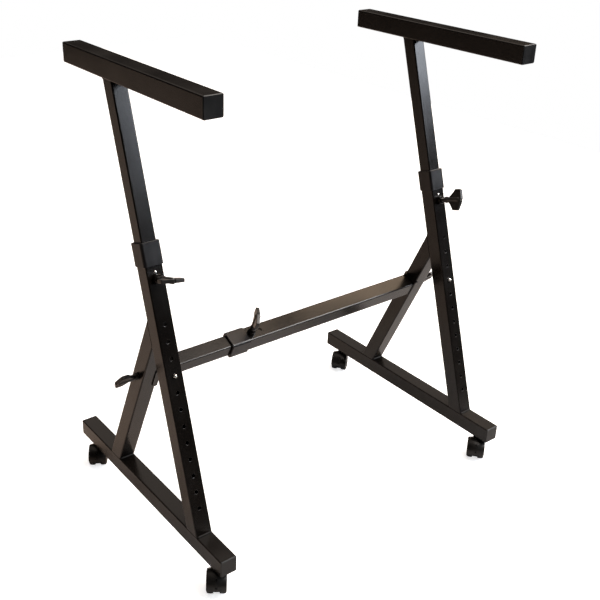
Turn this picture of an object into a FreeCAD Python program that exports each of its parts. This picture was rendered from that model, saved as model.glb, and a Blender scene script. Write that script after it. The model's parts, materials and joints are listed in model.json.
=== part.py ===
import FreeCAD
import Part

import math
import os

from FreeCAD import Vector

# Keyboard stand on casters: two upright frames of square tube, joined by a telescopic crossbar.
# Each frame is a base, a leaning outer post and a brace; an inner post with a flat arm slides in it.
# Origin: on the floor, midway between the frames and midway along the bases. +X right, +Y rear, +Z up.
# All lengths in millimetres, all angles in degrees.

# Overall sizes
FRAME_SPACING = 662.0      # centre plane to centre plane of the two frames
BASE_LENGTH = 510.0        # base with its end caps
ARM_LENGTH = 430.0         # arm with its end caps

# Square tubes
TUBE = 32.0                # side of bases, posts, braces and crossbar
ARM_TUBE = 34.0            # side of the arms
TUBE_WALL = 1.2
TUBE_CORNER = 2.4          # outside corner radius
SLIDER = 28.0              # side of the tubes that telescope inside
SLIDER_WALL = 1.5
SLIDER_CORNER = 2.4

# Outer post, measured along its front face from the top of the base
POST_LEAN = 17.3           # leans to the rear
POST_FOOT = 74.5           # front end of the base to the foot of the front face
POST_LENGTH = 518.0
HOLE_FIRST = 50.0          # lowest height hole
HOLE_PITCH = 30.0
HOLE_COUNT = 12
HOLE_RADIUS = 4.0
HOLE_ENGAGED = 8           # the snap button stands in this hole, counted from nought
POST_KNOB_BELOW_MOUTH = 60.0
RIVET_BELOW_MOUTH = 49.0

# Inner post and arm
INNER_POST_BELOW = 25.0    # inner post reaches this far below the snap button
ARM_RISE = 743.7           # top of the base to the underside of the arm

# Brace
BRACE_LEAN = 24.4          # leans to the front
BRACE_FOOT = 348.6         # front end of the base to the foot of the front face
CROSSBAR_HEIGHT = 247.0    # along the brace's front face, from the top of the base

# Crossbar, measured from the outer side of the left frame
CROSSBAR_MOUTH = 190.0     # where the collar of the outer tube begins
CROSSBAR_KNOB_BELOW_MOUTH = 49.5   # along the outer tube, from its end in the collar
CROSSBAR_HOLE_BELOW_MOUTH = 70.0
CROSSBAR_INNER_LENGTH = 475.0

# Fits
SEAT_GAP = 0.1             # a loose piece beside its seat
SLIDE_GAP = 0.15           # collar sleeve to inner tube, each side
RUNNING_GAP = 0.05         # radial, shaft in bore
HOLE_GAP = 0.3             # radial, stud or pin through a plain hole
TIP_GAP = 0.3              # end of a pin or stud to what it faces

# Plastic collar on the mouth of an outer tube
COLLAR_WALL = 2.4
COLLAR_LENGTH = 40.0
COLLAR_LIP = 2.0           # closes the tube's end
COLLAR_EDGE = 0.8
SLEEVE_WALL = 0.5
POST_SLEEVE = 55.0         # reaches this far down the outer post
CROSSBAR_SLEEVE = 41.0     # and this far into the crossbar

# Rivet that holds the collar's sleeve
RIVET_HEAD_RADIUS = 2.7
RIVET_HEAD_HEIGHT = 1.5
RIVET_SHANK_RADIUS = 1.6

# Plastic end cap
CAP_FLANGE = 2.5
CAP_EDGE = 1.0
CAP_PLUG_LENGTH = 12.0
CAP_PLUG_GAP = 0.2
CAP_PLUG_WALL = 2.0

# Clamp knob: stud, threaded boss and wing head
STUD_RADIUS = 4.0
STUD_EMBEDDED = 24.0       # length moulded into the head
BOSS_RADIUS = 8.0
BOSS_HEIGHT = 9.0
BOSS_EDGE = 0.8
HEAD_LENGTH = 43.0
HEAD_CORE_LENGTH = 39.0    # the round core ends below the peak of the blades
HEAD_HUB_RADIUS = 6.6
HEAD_HUB_HEIGHT = 4.0
HEAD_HUB_EDGE = 0.8
HEAD_WAIST = 3.0           # length over which the hub narrows to the neck
HEAD_NECK_RADIUS = 5.2
HEAD_END_RADIUS = 5.6
HEAD_DOME = 3.0
WING_SPAN = 43.0
WING_THICKNESS = 6.6
WING_CORNER = 2.4
WING_EDGE = 1.2
POST_KNOB_STANDOFF = 9.5   # boss to head
CROSSBAR_KNOB_STANDOFF = 3.0
BRACKET_KNOB_STANDOFF = 0.3 # brace to head
POST_KNOB_TURN = {"left": 100.0, "right": 22.0}     # wing from the post's length, seen from the front
BRACKET_KNOB_TURN = {"left": -17.0, "right": -17.0} # wing from the brace's length, towards the rear
CROSSBAR_KNOB_TURN = 122.0                          # wing from the crossbar's length, seen from above

# Outline of one fishtail blade: shares of half the span and of the head's length
BLADE_ROOT_SHARES = (0.27, 0.24)
BLADE_HOLLOW_SHARES = (0.62, 0.41)
BLADE_SHOULDER_SHARES = (1.00, 0.55)
BLADE_TIP_SHARES = (1.00, 0.87)
BLADE_PEAK_SHARES = (0.10, 1.00)
BLADE_NOTCH_SHARES = (0.00, 0.97)

# Crossbar bracket: a shallow channel that saddles the brace, with a nut inside the crossbar
BRACKET_WEB = 3.0
BRACKET_FLANGE = 2.0
BRACKET_REACH = 8.0        # flange over the brace's face
BRACKET_HEIGHT = 44.0
BRACKET_CORNER = 4.0
BRACKET_GAP = 0.2
BRACKET_NUT_RADIUS = 7.0
BRACKET_NUT_HEIGHT = 8.0

# Snap button and its leaf spring
BUTTON_RADIUS = 3.5
BUTTON_PROUD = 5.0         # domed end beyond the outer tube's face
SPRING_STRIP = 0.8
SPRING_WIDTH = 12.0
SPRING_FOOT = 10.0         # flat part below the button
SPRING_SHOULDER = 8.0      # flat part above the button
SPRING_RISE = 56.0         # button to the centre of the bend
SPRING_BEND_RADIUS = 2.6
SPRING_GAP = 0.5           # front leaf to the tube's inner wall

# Casters
CASTER_HEIGHT = 50.0
CASTER_INSET = 36.0        # stem to the end of the base
CASTER_TRAIL = 14.0
CASTER_TURN = {"front_left": 36.0, "rear_left": 33.0, "front_right": 50.0, "rear_right": 51.0}
WHEEL_RADIUS = 20.0
WHEEL_WIDTH = 12.0
WHEEL_RIM = 3.2
WHEEL_DISC = 2.6
WHEEL_HUB_RADIUS = 5.0
WHEEL_EDGE = 4.0           # rounding of the outer edge
WHEEL_INNER_EDGE = 0.9
WHEEL_DISH = 0.9
WHEEL_DISH_RADIUS = 14.5
WHEEL_SIDE_GAP = 0.5
HOOD_WALL = 3.6            # at the crown, midway between the wheels
HOOD_LIP = 0.6             # at the open sides
HOOD_GAP = 0.9             # hood to tread
HOOD_WEB = 10.0
HOOD_WEB_RADIUS = 17.5
HOOD_SOCKET_RADIUS = 7.5
HOOD_REAR_EDGE = 19.0      # lower edge above the floor, trailing side
HOOD_FRONT_EDGE = 27.0     # lower edge above the floor, stem side
HOOD_HOLE_RADIUS = 1.8     # blind hole in the trailing side
HOOD_HOLE_RISE = 14.0      # angle above the axle
HOOD_SLOT_WIDTH = 2.5
HOOD_SLOT_LENGTH = 5.0
HOOD_SLOT_RISE = 48.0
HOOD_MARK_DEPTH = 3.0      # depth of the hole and of the slot
AXLE_RADIUS = 2.5
AXLE_COVER = 2.6           # wheel's outer face to the end of the axle bore
STEM_SPIGOT_RADIUS = 3.5
STEM_SPIGOT_LENGTH = 18.0
STEM_COLLAR_RADIUS = 7.0
STEM_COLLAR_HEIGHT = 3.6
STEM_THREAD_LENGTH = 15.0
STEM_GAP = 0.4             # stem collar to hood
NUT_FLATS = 13.0           # across flats
NUT_HEIGHT = 6.5

# Extra length of every cutting tool
OVERRUN = 40.0

SIDES = {"left": -1, "right": 1}
ENDS = {"front": -1, "rear": 1}
HEXAGON = 6
X_AXIS = Vector(1, 0, 0)
Y_AXIS = Vector(0, 1, 0)
Z_AXIS = Vector(0, 0, 1)

# Sizes that follow from those above
HALF_TUBE = TUBE / 2
TUBE_BORE = TUBE - 2 * TUBE_WALL
SLIDER_BORE = SLIDER - 2 * SLIDER_WALL
SLIDER_INSET = (TUBE - SLIDER) / 2
BASE_TOP = CASTER_HEIGHT + TUBE
BASE_FRONT = -BASE_LENGTH / 2
ARM_UNDERSIDE = BASE_TOP + ARM_RISE
BUTTON_HEIGHT = HOLE_FIRST + HOLE_ENGAGED * HOLE_PITCH
POST_KNOB_HEIGHT = POST_LENGTH - POST_KNOB_BELOW_MOUTH
RIVET_HEIGHT = POST_LENGTH - RIVET_BELOW_MOUTH
LEFT_OUTSIDE = -FRAME_SPACING / 2 - HALF_TUBE
BRACE_INSIDE = FRAME_SPACING / 2 - HALF_TUBE
CROSSBAR_END = BRACE_INSIDE - BRACKET_GAP - BRACKET_WEB
CROSSBAR_OUTER_LENGTH = CROSSBAR_END - LEFT_OUTSIDE - CROSSBAR_MOUTH - COLLAR_LIP
CROSSBAR_KNOB_HEIGHT = CROSSBAR_OUTER_LENGTH - CROSSBAR_KNOB_BELOW_MOUTH
CROSSBAR_HOLE_HEIGHT = CROSSBAR_OUTER_LENGTH - CROSSBAR_HOLE_BELOW_MOUTH
HOOD_RADIUS = WHEEL_RADIUS + HOOD_GAP + HOOD_WALL
HOOD_WIDTH = HOOD_WEB + 2 * (WHEEL_SIDE_GAP + WHEEL_WIDTH)
HOOD_TOP = CASTER_HEIGHT - STEM_COLLAR_HEIGHT - STEM_GAP


def frame_at(origin, x_axis, z_axis):
    """Placement whose local x and z run along the given square unit directions."""
    y_axis = z_axis.cross(x_axis)
    return FreeCAD.Placement(FreeCAD.Matrix(
        x_axis.x, y_axis.x, z_axis.x, origin.x,
        x_axis.y, y_axis.y, z_axis.y, origin.y,
        x_axis.z, y_axis.z, z_axis.z, origin.z,
        0, 0, 0, 1))


def moved(shape, placement):
    """Copy of a shape carried from a local frame to the frame around it."""
    copy = shape.copy()
    copy.Placement = placement.multiply(copy.Placement)
    return copy


def edges_along(shape, axis):
    """Straight edges of a shape that run along an axis."""
    found = []
    for edge in shape.Edges:
        if isinstance(edge.Curve, Part.Line):
            start, end = edge.Vertexes[0].Point, edge.Vertexes[-1].Point
            if abs((end - start).normalize().dot(axis)) > math.cos(math.radians(1)):
                found.append(edge)
    return found


def edges_at_height(shape, height):
    """Edges of a shape that lie in the plane z = height."""
    def flat(edge):
        box = edge.BoundBox
        return abs(box.ZMin - height) < SEAT_GAP and abs(box.ZMax - height) < SEAT_GAP
    return [edge for edge in shape.Edges if flat(edge)]


def square_prism(side, corner, bottom, top):
    """Solid bar along z with a rounded square section."""
    bar = Part.makeBox(side, side, top - bottom, Vector(-side / 2, -side / 2, bottom))
    return bar.makeFillet(corner, edges_along(bar, Z_AXIS))


def square_tube(side, wall, corner, bottom, top):
    """Hollow bar along z with a rounded square section."""
    bore = square_prism(side - 2 * wall, corner - wall, bottom, top)
    return square_prism(side, corner, bottom, top).cut(bore)


def turned(points):
    """Solid of revolution about z from an outline of (radius, height) points."""
    corners = [Vector(radius, 0, height) for radius, height in points]
    face = Part.Face(Part.makePolygon(corners + corners[:1]))
    return face.revolve(Vector(0, 0, 0), Z_AXIS, 360)


def front_hole(radius, height):
    """Drill for the front wall of a tube along z."""
    return Part.makeCylinder(radius, HALF_TUBE + OVERRUN, Vector(0, -HALF_TUBE - OVERRUN, height), Y_AXIS)


def slope(lean):
    """Unit direction that rises and leans to the rear by the given angle."""
    angle = math.radians(lean)
    return Vector(0, math.sin(angle), math.cos(angle))


def tube_frame(side, foot, lean):
    """Frame of a leaning tube: z up its middle, x to the right, nought at the foot of its front face."""
    up = slope(lean)
    front_foot = Vector(SIDES[side] * FRAME_SPACING / 2, BASE_FRONT + foot, BASE_TOP)
    return frame_at(front_foot + up.cross(X_AXIS) * HALF_TUBE, X_AXIS, up)


def post_frame(side):
    return tube_frame(side, POST_FOOT, POST_LEAN)


def brace_frame(side):
    return tube_frame(side, BRACE_FOOT, -BRACE_LEAN)


def crossbar_frame(side):
    """Frame at one end of the crossbar: z towards the other end, -y on the bar's top face."""
    brace = brace_frame(side).Rotation
    inward = X_AXIS * -SIDES[side]
    up_brace = brace.multVec(Z_AXIS)
    origin = brace_frame(side).multVec(Vector(0, 0, CROSSBAR_HEIGHT))
    origin.x = SIDES[side] * CROSSBAR_END
    return frame_at(origin, inward.cross(up_brace), inward)


def knob_frame(tube, height, turn):
    """Frame on a tube's front face: z out of the face, x along the wing."""
    angle = math.radians(turn)
    wing = Vector(math.sin(angle), 0, math.cos(angle))
    return tube.multiply(frame_at(Vector(0, -HALF_TUBE, height), wing, -Y_AXIS))


def bracket_knob_frame(side):
    """Frame on the outer face of a brace: z out of the face, x along the wing."""
    angle = math.radians(BRACKET_KNOB_TURN[side])
    wing = Vector(0, math.sin(angle), math.cos(angle))
    face = Vector(SIDES[side] * HALF_TUBE, 0, CROSSBAR_HEIGHT)
    return brace_frame(side).multiply(frame_at(face, wing, X_AXIS * SIDES[side]))


def caster_frame(end, side):
    """Frame on the floor below a caster's stem: z up the stem, y from the wheels to the stem."""
    spot = Vector(SIDES[side] * FRAME_SPACING / 2, ENDS[end] * (BASE_LENGTH / 2 - CASTER_INSET), 0)
    return FreeCAD.Placement(spot, FreeCAD.Rotation(Z_AXIS, -CASTER_TURN[f"{end}_{side}"]))


def wheel_axis_frame(direction):
    """Frame on the wheel axis inside a caster: z along the axis to the given side."""
    return frame_at(Vector(0, -CASTER_TRAIL, WHEEL_RADIUS), Y_AXIS, X_AXIS * direction)


# Frames

def level_tube(side, size, length, bottom):
    """Tube along y, centred on its frame."""
    tube = square_tube(size, TUBE_WALL, TUBE_CORNER, -length / 2 + CAP_FLANGE, length / 2 - CAP_FLANGE)
    middle = Vector(SIDES[side] * FRAME_SPACING / 2, 0, bottom + size / 2)
    return moved(tube, frame_at(middle, X_AXIS, Y_AXIS))


def base_tube(side):
    """Base tube with a hole for each caster's stem in its underside."""
    tube = level_tube(side, TUBE, BASE_LENGTH, CASTER_HEIGHT)
    for end in ENDS:
        hole = Part.makeCylinder(STUD_RADIUS + HOLE_GAP, HALF_TUBE, Vector(0, 0, CASTER_HEIGHT - TUBE_WALL))
        tube = tube.cut(moved(hole, caster_frame(end, side)))
    return tube


def end_cap(size):
    """Square cap: flange outside the tube's end, hollow plug inside it. z points out of the tube."""
    flange = square_prism(size, TUBE_CORNER, 0, CAP_FLANGE)
    flange = flange.makeChamfer(CAP_EDGE, edges_at_height(flange, CAP_FLANGE))
    plug_side = size - 2 * (TUBE_WALL + CAP_PLUG_GAP)
    plug_corner = TUBE_CORNER - TUBE_WALL + CAP_PLUG_WALL
    plug = square_tube(plug_side, CAP_PLUG_WALL, plug_corner, -CAP_PLUG_LENGTH, 0)
    return flange.fuse(plug).removeSplitter()


def end_caps(side, size, length, bottom):
    """The two caps of a level tube."""
    caps = []
    for sign in ENDS.values():
        spot = Vector(SIDES[side] * FRAME_SPACING / 2, sign * (length / 2 - CAP_FLANGE), bottom + size / 2)
        caps.append(moved(end_cap(size), frame_at(spot, X_AXIS, Y_AXIS * sign)))
    return Part.makeCompound(caps)


def below_base_top(side):
    """Block that trims a leaning tube flush on the base."""
    corner = Vector(SIDES[side] * FRAME_SPACING / 2 - TUBE, BASE_FRONT, BASE_TOP - OVERRUN)
    return Part.makeBox(2 * TUBE, BASE_LENGTH, OVERRUN, corner)


def outer_post(side):
    """Leaning outer post: height holes, knob hole and rivet hole in its front face."""
    tube = square_tube(TUBE, TUBE_WALL, TUBE_CORNER, 0, POST_LENGTH)
    holes = [front_hole(HOLE_RADIUS, HOLE_FIRST + n * HOLE_PITCH) for n in range(HOLE_COUNT)]
    holes.append(front_hole(STUD_RADIUS + HOLE_GAP, POST_KNOB_HEIGHT))
    holes.append(front_hole(RIVET_SHANK_RADIUS + RUNNING_GAP, RIVET_HEIGHT))
    return moved(tube.cut(holes), post_frame(side)).cut(below_base_top(side))


def brace_tube(side):
    """Brace, trimmed flush on the base and on the post's rear face, with a cross hole for the stud."""
    reach = BRACE_FOOT / math.sin(math.radians(POST_LEAN + BRACE_LEAN))
    tube = square_tube(TUBE, TUBE_WALL, TUBE_CORNER, -TUBE, reach)
    stud_hole = Part.makeCylinder(
        STUD_RADIUS + HOLE_GAP, TUBE + 2 * OVERRUN, Vector(-HALF_TUBE - OVERRUN, 0, CROSSBAR_HEIGHT), X_AXIS)
    before_post = Part.makeBox(
        2 * TUBE, BASE_LENGTH, 2 * POST_LENGTH, Vector(-TUBE, HALF_TUBE - BASE_LENGTH, -POST_LENGTH / 2))
    brace = moved(tube.cut(stud_hole), brace_frame(side))
    return brace.cut([below_base_top(side), moved(before_post, post_frame(side))])


def collar(tube_length, sleeve, rivet_height=None):
    """Collar on the mouth of a tube along z: skirt outside, lip over the end, thin sleeve inside."""
    top = tube_length + COLLAR_LIP
    skirt = square_prism(TUBE + 2 * COLLAR_WALL, TUBE_CORNER + COLLAR_WALL, top - COLLAR_LENGTH, top)
    skirt = skirt.makeChamfer(COLLAR_EDGE, edges_at_height(skirt, top))
    around_tube = square_prism(
        TUBE + 2 * SEAT_GAP, TUBE_CORNER + SEAT_GAP, top - COLLAR_LENGTH - OVERRUN, tube_length)
    opening = SLIDER + 2 * SLIDE_GAP
    lining = square_prism(
        opening + 2 * SLEEVE_WALL, SLIDER_CORNER + SLIDE_GAP + SLEEVE_WALL, tube_length - sleeve, tube_length)
    bore = square_prism(opening, SLIDER_CORNER + SLIDE_GAP, tube_length - sleeve - OVERRUN, top + OVERRUN)
    body = skirt.cut(around_tube).fuse(lining).cut(bore)
    if rivet_height is not None:
        body = body.cut(front_hole(RIVET_SHANK_RADIUS + RUNNING_GAP, rivet_height))
    return body


def rivet():
    """Domed rivet on a tube's face, z out of the face."""
    depth = TUBE_WALL + (TUBE_BORE - SLIDER) / 2 - SLIDE_GAP
    ball_radius = (RIVET_HEAD_RADIUS ** 2 + RIVET_HEAD_HEIGHT ** 2) / (2 * RIVET_HEAD_HEIGHT)
    head = Part.makeCylinder(RIVET_HEAD_RADIUS, RIVET_HEAD_HEIGHT)
    dome = head.common(Part.makeSphere(ball_radius, Vector(0, 0, RIVET_HEAD_HEIGHT - ball_radius)))
    return dome.fuse(Part.makeCylinder(RIVET_SHANK_RADIUS, depth, Vector(0, 0, -depth)))


def threaded_boss(radius, height):
    """Round weld nut that a stud runs in, standing on z = 0."""
    bore = STUD_RADIUS + RUNNING_GAP
    return turned([
        (bore, 0), (radius, 0), (radius, height - BOSS_EDGE), (radius - BOSS_EDGE, height), (bore, height)])


def bracket(side):
    """Channel that saddles the brace: web across its inner face, flanges over its front and rear faces."""
    inward = -SIDES[side]
    half_depth = HALF_TUBE + BRACKET_GAP + BRACKET_FLANGE
    length = BRACKET_REACH + BRACKET_GAP + BRACKET_WEB
    block = Part.makeBox(length, 2 * half_depth, BRACKET_HEIGHT, Vector(0, -half_depth, -BRACKET_HEIGHT / 2))
    flange_corners = [e for e in edges_along(block, Y_AXIS) if e.BoundBox.XMax < SEAT_GAP]
    block = block.makeFillet(BRACKET_CORNER, flange_corners)
    web_edges = [e for e in edges_along(block, Z_AXIS) if e.BoundBox.XMin > SEAT_GAP]
    block = block.makeFillet(BRACKET_FLANGE, web_edges)
    channel = Part.makeBox(
        length, TUBE + 2 * BRACKET_GAP, BRACKET_HEIGHT + 2 * OVERRUN,
        Vector(-BRACKET_WEB, -HALF_TUBE - BRACKET_GAP, -BRACKET_HEIGHT / 2 - OVERRUN))
    stud_hole = Part.makeCylinder(STUD_RADIUS + HOLE_GAP, length + OVERRUN, Vector(0, 0, 0), X_AXIS)
    saddle = block.cut([channel, stud_hole])
    flange_tip = Vector(inward * (HALF_TUBE - BRACKET_REACH), 0, CROSSBAR_HEIGHT)
    if inward < 0:
        saddle = saddle.mirror(Vector(0, 0, 0), X_AXIS)
    return moved(moved(saddle, FreeCAD.Placement(flange_tip, FreeCAD.Rotation())), brace_frame(side))


def bracket_nut(side):
    """Nut on the bracket's web, inside the crossbar."""
    return moved(threaded_boss(BRACKET_NUT_RADIUS, BRACKET_NUT_HEIGHT), crossbar_frame(side))


def crossbar_inner():
    tube = square_tube(SLIDER, SLIDER_WALL, SLIDER_CORNER, 0, CROSSBAR_INNER_LENGTH)
    return moved(tube, crossbar_frame("left"))


def crossbar_outer():
    """Outer tube of the crossbar with its knob hole and the plain hole beside it."""
    tube = square_tube(TUBE, TUBE_WALL, TUBE_CORNER, 0, CROSSBAR_OUTER_LENGTH)
    knob_hole = front_hole(STUD_RADIUS + HOLE_GAP, CROSSBAR_KNOB_HEIGHT)
    plain_hole = front_hole(HOLE_RADIUS, CROSSBAR_HOLE_HEIGHT)
    return moved(tube.cut([knob_hole, plain_hole]), crossbar_frame("right"))


# Arms

def inner_post(side):
    """Inner post, cut level under the arm, with the snap button's hole."""
    top = ARM_RISE / math.cos(math.radians(POST_LEAN)) + TUBE
    tube = square_tube(SLIDER, SLIDER_WALL, SLIDER_CORNER, BUTTON_HEIGHT - INNER_POST_BELOW, top)
    tube = tube.cut(front_hole(BUTTON_RADIUS + HOLE_GAP, BUTTON_HEIGHT))
    above = Part.makeBox(
        2 * TUBE, BASE_LENGTH, 2 * TUBE,
        Vector(SIDES[side] * FRAME_SPACING / 2 - TUBE, BASE_FRONT, ARM_UNDERSIDE))
    return moved(tube, post_frame(side)).cut(above)


def snap_button():
    """Domed pin in the engaged hole, z out of the post's front face."""
    foot = -(SLIDER_INSET + SLIDER_WALL + SPRING_GAP)
    pin = Part.makeCylinder(BUTTON_RADIUS, BUTTON_PROUD - BUTTON_RADIUS - foot, Vector(0, 0, foot))
    dome = Part.makeSphere(BUTTON_RADIUS, Vector(0, 0, BUTTON_PROUD - BUTTON_RADIUS), Z_AXIS, 0, 90, 360)
    return pin.fuse(dome).removeSplitter()


def snap_spring():
    """Spring strip folded to a V: one leaf carries the button, the other rests on the post's rear wall."""
    half_strip = SPRING_STRIP / 2
    front = -SLIDER_BORE / 2 + SPRING_GAP + half_strip
    rear = SLIDER_BORE / 2 - half_strip
    foot = BUTTON_HEIGHT - SPRING_FOOT
    shoulder = BUTTON_HEIGHT + SPRING_SHOULDER
    bend = BUTTON_HEIGHT + SPRING_RISE
    route = [
        Vector(0, front, foot), Vector(0, front, shoulder), Vector(0, -SPRING_BEND_RADIUS, bend),
        Vector(0, SPRING_BEND_RADIUS, bend), Vector(0, rear, shoulder), Vector(0, rear, foot)]
    over_bend = Part.Arc(route[2], Vector(0, 0, bend + SPRING_BEND_RADIUS), route[3]).toShape()
    legs = [Part.makeLine(route[0], route[1]), Part.makeLine(route[1], route[2]), over_bend,
            Part.makeLine(route[3], route[4]), Part.makeLine(route[4], route[5])]
    outline = Part.Wire(legs).makeOffset2D(half_strip, 0, True, False, False)
    return outline.extrude(X_AXIS * SPRING_WIDTH).translated(X_AXIS * (-SPRING_WIDTH / 2))


# Clamp knobs

def wing_blades():
    """Both fishtail blades of a wing head, as one plate with rounded edges."""
    def at(shares, sign=1):
        return Vector(sign * shares[0] * WING_SPAN / 2, 0, shares[1] * HEAD_LENGTH)

    def half(sign):
        root, hollow, shoulder = [
            at(shares, sign) for shares in (BLADE_ROOT_SHARES, BLADE_HOLLOW_SHARES, BLADE_SHOULDER_SHARES)]
        tip, peak, notch = [
            at(shares, sign) for shares in (BLADE_TIP_SHARES, BLADE_PEAK_SHARES, BLADE_NOTCH_SHARES)]
        return [
            Part.Arc(root, hollow, shoulder), Part.LineSegment(shoulder, tip),
            Part.LineSegment(tip, peak), Part.LineSegment(peak, notch)]

    across = Part.LineSegment(at(BLADE_ROOT_SHARES, -1), at(BLADE_ROOT_SHARES))
    curves = [curve.toShape() for curve in half(1) + half(-1) + [across]]
    face = Part.Face(Part.Wire(Part.__sortEdges__(curves)))
    plate = face.extrude(Y_AXIS * WING_THICKNESS).translated(Y_AXIS * (-WING_THICKNESS / 2))
    tips = [e for e in edges_along(plate, Y_AXIS) if abs(e.BoundBox.Center.x) > WING_SPAN / 4]
    plate = plate.makeFillet(WING_CORNER, tips)
    rim = [e for e in plate.Edges if abs(e.BoundBox.YMax - e.BoundBox.YMin) < SEAT_GAP]
    return plate.makeFillet(WING_EDGE, rim)


def wing_head(standoff):
    """Moulded wing head: turned hub and core with two blades, bored for its stud."""
    neck_start = HEAD_HUB_HEIGHT + HEAD_WAIST
    core = turned([
        (0, 0), (HEAD_HUB_RADIUS - HEAD_HUB_EDGE, 0), (HEAD_HUB_RADIUS, HEAD_HUB_EDGE),
        (HEAD_HUB_RADIUS, HEAD_HUB_HEIGHT),
        (HEAD_NECK_RADIUS, neck_start), (HEAD_END_RADIUS, HEAD_CORE_LENGTH - HEAD_DOME),
        (HEAD_END_RADIUS - HEAD_DOME / 2, HEAD_CORE_LENGTH - HEAD_DOME / 4),
        (HEAD_END_RADIUS - HEAD_DOME, HEAD_CORE_LENGTH), (0, HEAD_CORE_LENGTH)])
    bore_length = STUD_EMBEDDED + TIP_GAP + OVERRUN
    bore = Part.makeCylinder(STUD_RADIUS + RUNNING_GAP, bore_length, Vector(0, 0, -OVERRUN))
    head = core.fuse(wing_blades()).cut(bore)
    return head.translated(Z_AXIS * standoff)


def stud(inner_end, outer_end):
    return Part.makeCylinder(STUD_RADIUS, outer_end - inner_end, Vector(0, 0, inner_end))


# Casters

def wheel():
    """Cup-shaped wheel: rim, closed outer disc and hub. z runs outwards from its open side."""
    bore = AXLE_RADIUS + RUNNING_GAP
    bore_end = WHEEL_WIDTH - AXLE_COVER
    inner_rim = WHEEL_RADIUS - WHEEL_RIM
    disc = WHEEL_WIDTH - WHEEL_DISC
    blank = turned([
        (0, bore_end), (bore, bore_end), (bore, 0), (WHEEL_HUB_RADIUS, 0), (WHEEL_HUB_RADIUS, disc),
        (inner_rim, disc), (inner_rim, 0),
        (WHEEL_RADIUS - WHEEL_INNER_EDGE, 0), (WHEEL_RADIUS, WHEEL_INNER_EDGE),
        (WHEEL_RADIUS, WHEEL_WIDTH), (WHEEL_DISH_RADIUS, WHEEL_WIDTH),
        (WHEEL_DISH_RADIUS - WHEEL_DISH, WHEEL_WIDTH - WHEEL_DISH), (0, WHEEL_WIDTH - WHEEL_DISH)])
    outer_edge = [
        e for e in edges_at_height(blank, WHEEL_WIDTH) if e.BoundBox.XMax > WHEEL_DISH_RADIUS + SEAT_GAP]
    return blank.makeFillet(WHEEL_EDGE, outer_edge)


def hood_drum():
    """Solid drum about z that bulges from its lips to the crown in the middle."""
    half_width = HOOD_WIDTH / 2
    lip = WHEEL_RADIUS + HOOD_GAP + HOOD_LIP
    corners = [Vector(lip, 0, half_width), Vector(0, 0, half_width),
               Vector(0, 0, -half_width), Vector(lip, 0, -half_width)]
    crown = Part.Arc(corners[3], Vector(HOOD_RADIUS, 0, 0), corners[0]).toShape()
    outline = Part.Wire([crown] + Part.makePolygon(corners).Edges)
    return Part.Face(outline).revolve(Vector(0, 0, 0), Z_AXIS, 360)


def on_trailing_side(tool, rise):
    """Cutting tool along z, pointed out of a hood's trailing side at an angle above the axle."""
    angle = math.radians(rise)
    outwards = Vector(0, -math.cos(angle), math.sin(angle))
    return moved(tool, frame_at(Vector(0, -CASTER_TRAIL, WHEEL_RADIUS), X_AXIS, outwards))


def caster_hood():
    """Hood over both wheels, with the web between them, the stem's socket and two small marks behind."""
    axle = wheel_axis_frame(1)
    drum = moved(hood_drum(), axle)
    socket = Part.makeCylinder(HOOD_SOCKET_RADIUS, HOOD_TOP - WHEEL_RADIUS, Vector(0, 0, WHEEL_RADIUS))
    body = drum.fuse(socket)
    for side in SIDES.values():
        pocket = Part.makeCylinder(WHEEL_RADIUS + HOOD_GAP, HOOD_WIDTH, Vector(0, 0, HOOD_WEB / 2))
        body = body.cut(moved(pocket, wheel_axis_frame(side)))
    rear, front = -CASTER_TRAIL - HOOD_RADIUS, -CASTER_TRAIL + HOOD_RADIUS
    skirt_line = Part.makePolygon([
        Vector(-HOOD_WIDTH, rear, HOOD_REAR_EDGE), Vector(-HOOD_WIDTH, front, HOOD_FRONT_EDGE),
        Vector(-HOOD_WIDTH, front, -OVERRUN), Vector(-HOOD_WIDTH, rear, -OVERRUN),
        Vector(-HOOD_WIDTH, rear, HOOD_REAR_EDGE)])
    body = body.cut(Part.Face(skirt_line).extrude(X_AXIS * 2 * HOOD_WIDTH))
    web = Part.makeCylinder(HOOD_WEB_RADIUS, HOOD_WEB, Vector(0, 0, -HOOD_WEB / 2))
    mark_floor = HOOD_RADIUS - HOOD_MARK_DEPTH
    hole = Part.makeCylinder(HOOD_HOLE_RADIUS, OVERRUN, Vector(0, 0, mark_floor))
    slot = Part.makeBox(
        HOOD_SLOT_WIDTH, HOOD_SLOT_LENGTH, OVERRUN,
        Vector(-HOOD_SLOT_WIDTH / 2, -HOOD_SLOT_LENGTH / 2, mark_floor))
    axle_bore = Part.makeCylinder(AXLE_RADIUS + RUNNING_GAP, HOOD_WIDTH, Vector(0, 0, -HOOD_WIDTH / 2))
    depth = STEM_SPIGOT_LENGTH + TIP_GAP
    stem_bore = Part.makeCylinder(
        STEM_SPIGOT_RADIUS + RUNNING_GAP, depth + OVERRUN, Vector(0, 0, HOOD_TOP - depth))
    marks = [on_trailing_side(hole, HOOD_HOLE_RISE), on_trailing_side(slot, HOOD_SLOT_RISE)]
    return body.fuse(moved(web, axle)).cut([moved(axle_bore, axle), stem_bore] + marks).removeSplitter()


def caster_axle():
    half = HOOD_WEB / 2 + WHEEL_SIDE_GAP + WHEEL_WIDTH - AXLE_COVER - TIP_GAP
    return moved(Part.makeCylinder(AXLE_RADIUS, 2 * half, Vector(0, 0, -half)), wheel_axis_frame(1))


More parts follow.
